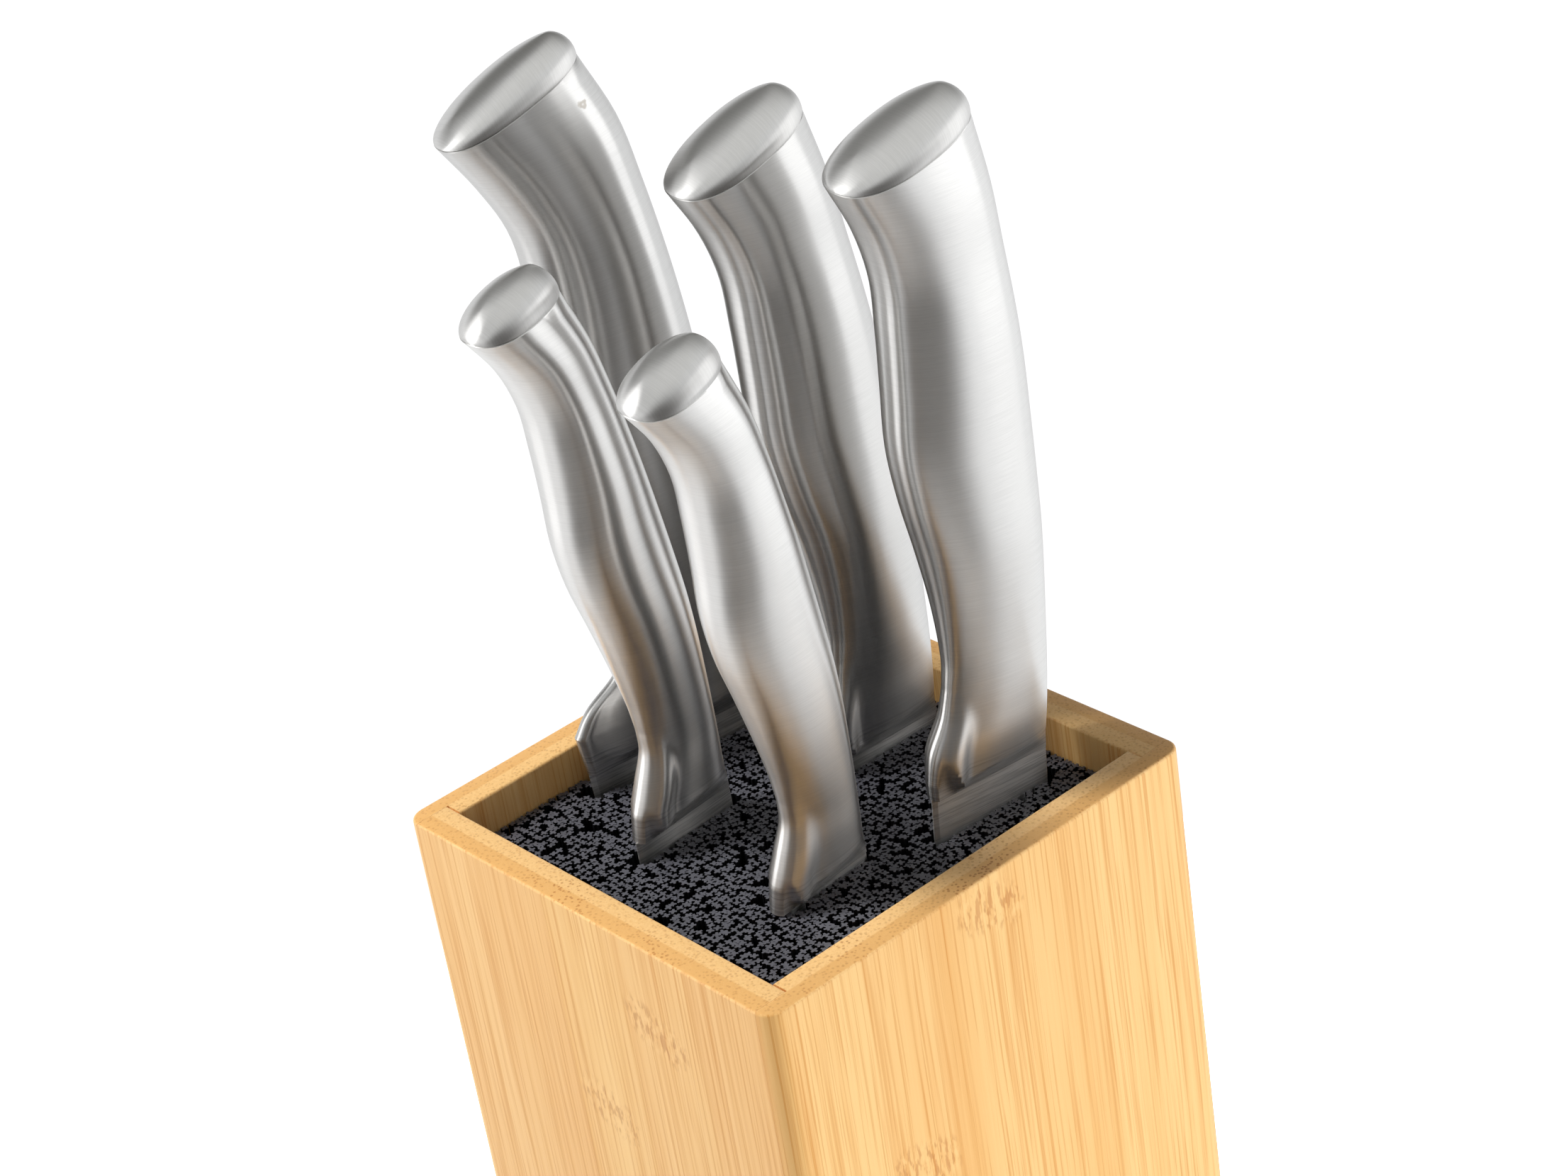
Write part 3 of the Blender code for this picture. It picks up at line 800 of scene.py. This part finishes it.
def crease_height(knife, along):
    """How high the bolster's cove reaches: along is 0 at the back and 1 at the belly."""
    flank = CREASE_BACK * (1 - along) + CREASE_BELLY * along
    s = min(max((along - 0.80) / 0.14, 0.0), 1.0)
    return flank + (CREASE_NOSE - flank) * s * s * (3 - 2 * s)


def lower_ring(knife, height, hollow):
    """A section of the bolster: hollowed a little behind its nose, and thinned towards the blade."""
    stations = knife["stations"]
    back, belly, half = knife["foot"]
    ring = section(station_at(stations, max(height, stations[0][0])), AROUND)
    flat = foot_ring(knife, AROUND)
    s = min(max((height - NOSE_FADE) / (NOSE_TOP - NOSE_FADE), 0.0), 1.0)
    swell = 1 - s * s * (3 - 2 * s)
    radius = NOSE_RADIUS * swell * hollow / HOLLOW
    tip = min(point.y for point in ring)
    for i, point in enumerate(ring):
        angle = 2 * pi * i / AROUND
        from_back = min(angle, 2 * pi - angle)
        dip = hollow * exp(-(((from_back - HOLLOW_PLACE) / HOLLOW_WIDTH) ** 2))
        point.x *= 1 - dip * swell
        depth = point.y - tip
        if 0 < depth < 2 * radius:
            bulb = sqrt(radius * radius - (depth - radius) ** 2)
            point.x = copysign((abs(point.x) ** BLEND + bulb**BLEND) ** (1 / BLEND), point.x)
        along = min(max((back - point.y) / (back - belly), 0.0), 1.0)
        share = min(height / crease_height(knife, along), 1.0) ** 1.7
        point.x = flat[i].x + (point.x - flat[i].x) * share
        point.y = flat[i].y + (point.y - flat[i].y) * min(height / stations[0][0], 1.0)
        point.z += height - max(height, stations[0][0])
    return ring


def handle_rings(knife, hollow):
    stations = knife["stations"]
    top = stations[-1][0]
    heights = steps_between(0.0, LOWER_TOP, LOWER_STEP)
    rings = [foot_ring(knife, AROUND)] + [lower_ring(knife, height, hollow) for height in heights]
    heights = steps_between(LOWER_TOP, 0.040, COLLAR_STEP) + steps_between(0.040, top, SHELL_STEP)
    for height in heights:
        share = min(max((height - top + END_ZONE) / END_ZONE, 0.0), 1.0)
        station = flatter(station_at(stations, height), share)
        rings.append(section(station, AROUND, fullness=fullness_at(share)))
    rings.append(section(flatter(stations[-1]), AROUND, WELD_EASE, WELD_EASE, END_FULLNESS))
    return rings


def fullness_at(share):
    return FULLNESS + (END_FULLNESS - FULLNESS) * share


def flatter(station, share=1.0):
    """A station that is thinner towards the back, as the handle is next to the end cap."""
    height, back, belly, half, narrow, slope = station
    return (height, back, belly, half * (1 - END_THINNER * share), narrow - END_NARROW * share, slope)


CREASE_BACK, CREASE_BELLY, CREASE_NOSE = 0.0048, 0.0009, 0.0085
HOLLOW_PLACE, HOLLOW_WIDTH = radians(122), radians(23)
HOLLOW, FLAT_HOLLOW = 0.10, {"chef": 0.04}
NOSE_RADIUS, NOSE_FADE, NOSE_TOP, BLEND = 0.0038, 0.007, 0.030, 5
END_FULLNESS, END_ZONE, END_THINNER, END_NARROW = 2.4, 0.035, 0.14, 0.16
LOWER_TOP, LOWER_STEP = 0.030, 0.0005
# Where the painted shade of a small dent sits on the chef handle.
PIT = {"chef": (0.0088, -0.0078, 0.1250)}
# Painted shade on the handles: the chef and bread handles are darkened most, the others a little.
PAINTED_SHADE, PLAIN_PAINTED_SHADE = {"chef": 0.20, "bread": 0.14}, 0.03
for name, knife in knives.items():
    finish = steel_finish(
        name + "_handle_steel", knife["place"], (120, 120, 7000), (0, 0, 1), 0.30,
        PAINTED_SHADE.get(name, PLAIN_PAINTED_SHADE), PIT.get(name),
    )
    stands_for = [f"{name}_{part}" for part in ("bolster", "handle_left", "handle_right")]
    built = wrap(handle_rings(knife, FLAT_HOLLOW.get(name, HOLLOW)), knife["place"])
    finish_piece(built, name + "_handle", finish, name + "_knife", stands_for, sharp=40)

# %% [markdown]
# ## End caps
# The cap is a dome welded on the handle's end. Its sections shrink towards a ridge along the
# middle, as a quarter of an ellipse does, and at the ridge both sides meet, so merging the doubles
# closes it. The ridge leans a little towards the handle's back.

# %% Build the end caps
DOME_STEPS = 14
CAP_LIP = 0.0003


def cap_rings(knife):
    end = flatter(knife["stations"][-1])
    height, back, belly, half, narrow, slope = end
    dome = knife["dome"] - CAP_LIP
    rings = [section(end, AROUND, WELD_EASE, WELD_EASE + 0.00002, END_FULLNESS)]
    rings.append(section(end, AROUND, 0.0, CAP_LIP, END_FULLNESS))
    middle = (back + belly) / 2
    for i in range(1, DOME_STEPS + 1):
        turn = pi / 2 * i / DOME_STEPS
        inset = (1 - cos(turn)) * half
        smaller = (height, back - RIDGE_END * inset, belly + RIDGE_END * inset, half - inset, narrow, slope)
        ring = section(smaller, AROUND, fullness=END_FULLNESS)
        for point in ring:
            reach = (point.y - middle) / (back - middle)
            lift = sin(turn) * (1 - END_DROP * reach * reach)
            point.z += CAP_LIP + dome * lift + CAP_LEAN * sin(turn) * (point.y - middle)
        rings.append(ring)
    return rings


RIDGE_END, END_DROP = 0.6, 0.36
# Painted shade: every cap is darkened by this share.
CAP_PAINTED_SHADE = 0.14
for name, knife in knives.items():
    finish = steel_finish(
        name + "_cap_steel", knife["place"], (90, 7000, 300), (0, 1, 0), 0.31, CAP_PAINTED_SHADE
    )
    built = wrap(cap_rings(knife), knife["place"])
    stands_for = [name + "_end_cap"]
    finish_piece(built, name + "_cap", finish, name + "_knife", stands_for, sharp=50)

# %% [markdown]
# ## Blades
# A blade is flat near its back, ground thin from the middle down, and sharpened by a narrow bevel.
# Its outline comes from the plain blade's rings. The bread knife's edge is scalloped.

# %% Build the blades
# The blades get no painted shade.
BLADE_PAINTED_SHADE = 0.0
EDGE_BEVEL = 0.0011
BACK_EASE = 0.0003
EDGE_HALF = 0.00008
SCALLOP_PITCH, SCALLOP_DEPTH = 0.0075, 0.0012
BLADE_STEP = 0.0012


def blade_ring(knife, height, scalloped):
    rows = knife["blade"]
    back, edge, half = [on_curve(rows, height, column) for column in (1, 2, 3)]
    if scalloped:
        edge += SCALLOP_DEPTH * (1 - abs(sin(pi * height / SCALLOP_PITCH)))
    depth = back - edge
    ease = min(BACK_EASE, 0.2 * depth)
    bevel = min(EDGE_BEVEL, 0.3 * depth)
    side = [
        (half - ease, back), (half, back - ease), (half, back - 0.42 * depth),
        (half * 0.32, edge + bevel), (EDGE_HALF, edge),
    ]
    whole = side + [(-x, y) for x, y in reversed(side)]
    return [Vector((x, y, height)) for x, y in whole]


def blade_heights(knife):
    tip = knife["blade"][0][0]
    near_tip = [tip + 0.006 * (i / 8) ** 2 for i in range(8)]
    return near_tip + [tip + 0.006] + steps_between(tip + 0.006, 0.0, BLADE_STEP)


for name, knife in knives.items():
    finish = steel_finish(
        name + "_blade_steel", knife["place"], (120, 120, 5000), (0, 0, 1), 0.34, BLADE_PAINTED_SHADE
    )
    rings = [blade_ring(knife, height, name == "bread") for height in blade_heights(knife)]
    built = wrap(rings, knife["place"])
    body, stands_for = name + "_knife", [name + "_blade"]
    finish_piece(built, name + "_ground_blade", finish, body, stands_for, sharp=9)

# %% [markdown]
# ## Rods
# The block is filled with thousands of thin plastic rods that stand on a plate and close round
# whatever is pushed between them. Each rod is a four-pointed star. One rod is made with operators
# and copied to every place of a grid that is shaken a little. A rod near a blade is pushed aside
# at four of its heights, by as much as the blade's thickness there asks for. Between them it runs
# straight, which is a shortcut: where a blade leans, some rods still cross it inside the bundle,
# out of sight. More heights, and a fixed side of the blade for each rod, would cure that.

# %% Build the rods
ROD_PITCH = 0.00142
ROD_RADIUS = 0.00076
STAR_WAIST = 0.50
ROD_SHAKE = 0.00024
ROD_MISSING = 0.04
BUNDLE_NAMES = ["rods_front_left", "rods_front_right", "rods_back_left", "rods_back_right"]
bundle_low, bundle_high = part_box("rod_bundle")
well_half = joint_y - 0.0009
LEVELS = (0.0, 0.35, 0.7, 1.0)
TOP_SHAKE, TOP_LIFT, TOP_TILT = 0.00008, 0.0001, 0.04
GAP_PATTERN, LEAST_BEND = 260, 0.00012


def plastic_finish():
    made, tree, shader = new_finish("rod_plastic", 0.42)
    place = add_node(tree, "TexCoord").outputs["Object"]
    patch = grain(tree, stretched(tree, place, (1, 1, 0.05)), 500.0, 2.0)
    fine = grain(tree, place, 3000.0, 3.0)
    tone = mix(tree, patch, colour(58, 58, 63), colour(94, 94, 101))
    tone = mix(tree, calc(tree, "MULTIPLY", fine, 0.35), tone, colour(112, 112, 120))
    # Painted shade: faces that don't point up are painted near black, for the shade in the narrow gaps
    # between the rods; the tops keep the plastic's own tone.
    facing = add_node(tree, "NewGeometry").outputs["Normal"]
    top_over_painted_side_shade = fade(tree, add_node(tree, "SeparateXYZ", {0: facing}).outputs[2], 0.5, 0.9)
    tone = mix(tree, top_over_painted_side_shade, colour(22, 22, 25), tone)
    link_input(tree, tone, shader, "Base Color")
    link_input(tree, calc(tree, "ADD", calc(tree, "MULTIPLY", patch, 0.3), 0.28), shader, "Roughness")
    add_bump(tree, shader, fine, 0.00002)
    return made


def star_template(levels):
    """One rod: a star with four blunt arms, extruded level by level, at shares of its height."""
    built = bmesh.new()
    bmesh.ops.create_circle(built, cap_ends=True, segments=12, radius=ROD_RADIUS)
    inner = [vert for i, vert in enumerate(built.verts) if i % 3 == 0]
    bmesh.ops.scale(built, vec=(STAR_WAIST, STAR_WAIST, 1), verts=inner)
    face = built.faces[:][0]
    for low, high in zip(levels, levels[1:]):
        grown = bmesh.ops.extrude_face_region(built, geom=[face], use_keep_orig=low == 0.0)
        moved = [item for item in grown["geom"] if isinstance(item, bmesh.types.BMVert)]
        bmesh.ops.translate(built, vec=(0, 0, high - low), verts=moved)
        face = next(item for item in grown["geom"] if isinstance(item, bmesh.types.BMFace))
    bmesh.ops.recalc_face_normals(built, faces=built.faces)
    mesh = bpy.data.meshes.new("one_rod")
    built.to_mesh(mesh)
    built.free()
    return mesh


PUSH_REACH, PAST_EDGE = 0.0050, 0.0016
ROD_ROOM, BLADE_CORE = 0.92, 0.00045
inverse = {name: knife["place"].inverted() for name, knife in knives.items()}


def pushed(point):
    """Where a point of a rod goes when the blades stand between the rods."""
    moved = point.copy()
    for name, knife in knives.items():
        own = inverse[name] @ point
        rows = knife["blade"]
        if own.z < rows[0][0] - 0.002 or abs(own.x) > 0.02:
            continue
        height = min(max(own.z, rows[0][0]), rows[-1][0])
        back, edge, half = [on_curve(rows, height, column) for column in (1, 2, 3)]
        beyond = max(own.y - back, edge - own.y, 0.0)
        room = (half + ROD_RADIUS * ROD_ROOM) * exp(-((beyond / PAST_EDGE) ** 2))
        shove = room * exp(-abs(own.x) / PUSH_REACH)
        moved += knife["place"].to_3x3() @ Vector((copysign(shove, own.x), 0, 0))
    moved.z = point.z
    moved.x = min(max(moved.x, -well_half), well_half)
    moved.y = min(max(moved.y, -well_half), well_half)
    return moved


def blocked(point):
    """True in the middle of a blade, where the rods on both sides would meet in one place."""
    for name, knife in knives.items():
        own = inverse[name] @ point
        rows = knife["blade"]
        height = min(max(own.z, rows[0][0]), rows[-1][0])
        if abs(own.x) < BLADE_CORE and on_curve(rows, height, 2) < own.y < on_curve(rows, height, 1):
            return True
    return False


def make_rods():
    chance = Random(4)
    straight, bending = star_template((0.0, 1.0)), star_template(LEVELS)
    bundles = {name: bmesh.new() for name in BUNDLE_NAMES}
    count = int(2 * well_half / ROD_PITCH)
    total = 0
    for row in range(count + 1):
        for column in range(count + 1):
            x = -well_half + 2 * well_half * column / count + chance.gauss(0, ROD_SHAKE)
            y = -well_half + 2 * well_half * row / count + chance.gauss(0, ROD_SHAKE)
            turn = chance.uniform(0, pi / 2)
            top = bundle_high.z + chance.gauss(0, TOP_SHAKE) + TOP_LIFT
            tilt = Vector((chance.gauss(0, TOP_TILT), chance.gauss(0, TOP_TILT), 0))
            x = min(max(x, -well_half), well_half)
            y = min(max(y, -well_half), well_half)
            hole = noise.noise(Vector((x, y, 0)) * GAP_PATTERN) * 0.5 + chance.random()
            if hole < ROD_MISSING or blocked(Vector((x, y, top))):
                continue
            levels = [Vector((x, y, bundle_low.z + (top - bundle_low.z) * s)) for s in LEVELS]
            places = [pushed(point) for point in levels]
            bends = max((p - q).length for p, q in zip(levels, places)) > LEAST_BEND
            name = BUNDLE_NAMES[(x > 0) + 2 * (y > 0)]
            built = bundles[name]
            first = len(built.verts)
            built.from_mesh(bending if bends else straight)
            built.verts.ensure_lookup_table()
            spin = Matrix.Rotation(turn, 3, "Z")
            for i in range(first, len(built.verts)):
                vert = built.verts[i]
                share = vert.co.z
                flat = spin @ Vector((vert.co.x, vert.co.y, 0))
                k = LEVELS.index(min(LEVELS, key=lambda s: abs(s - share)))
                vert.co = (places[k] if bends else levels[k]) + flat
                if share > 0.99:
                    vert.co.z += flat.dot(tilt)
            total += 1
    for name, built in bundles.items():
        stands_for = ["rod_bundle"]
        finish_piece(built, name, plastic, "rod_insert", stands_for, sharp=30)
    print("rods:", total)


plastic = plastic_finish()
plate = frame["nodes"]["rod_plate"]
plate.data.materials.clear()
plate.data.materials.append(plastic)
make_rods()

# %% [markdown]
# ## The size
# The finished pieces have to stay inside the plain model's box. Both boxes are printed, in millimetres.

# %% Print the boxes
visual_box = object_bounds()
boxes = {
    "cad": [list(cad_box[0]), list(cad_box[1])],
    "visual": [list(visual_box[0]), list(visual_box[1])],
}
for name, (low, high) in boxes.items():
    print(name, [round(value / MM, 2) for value in low + high])
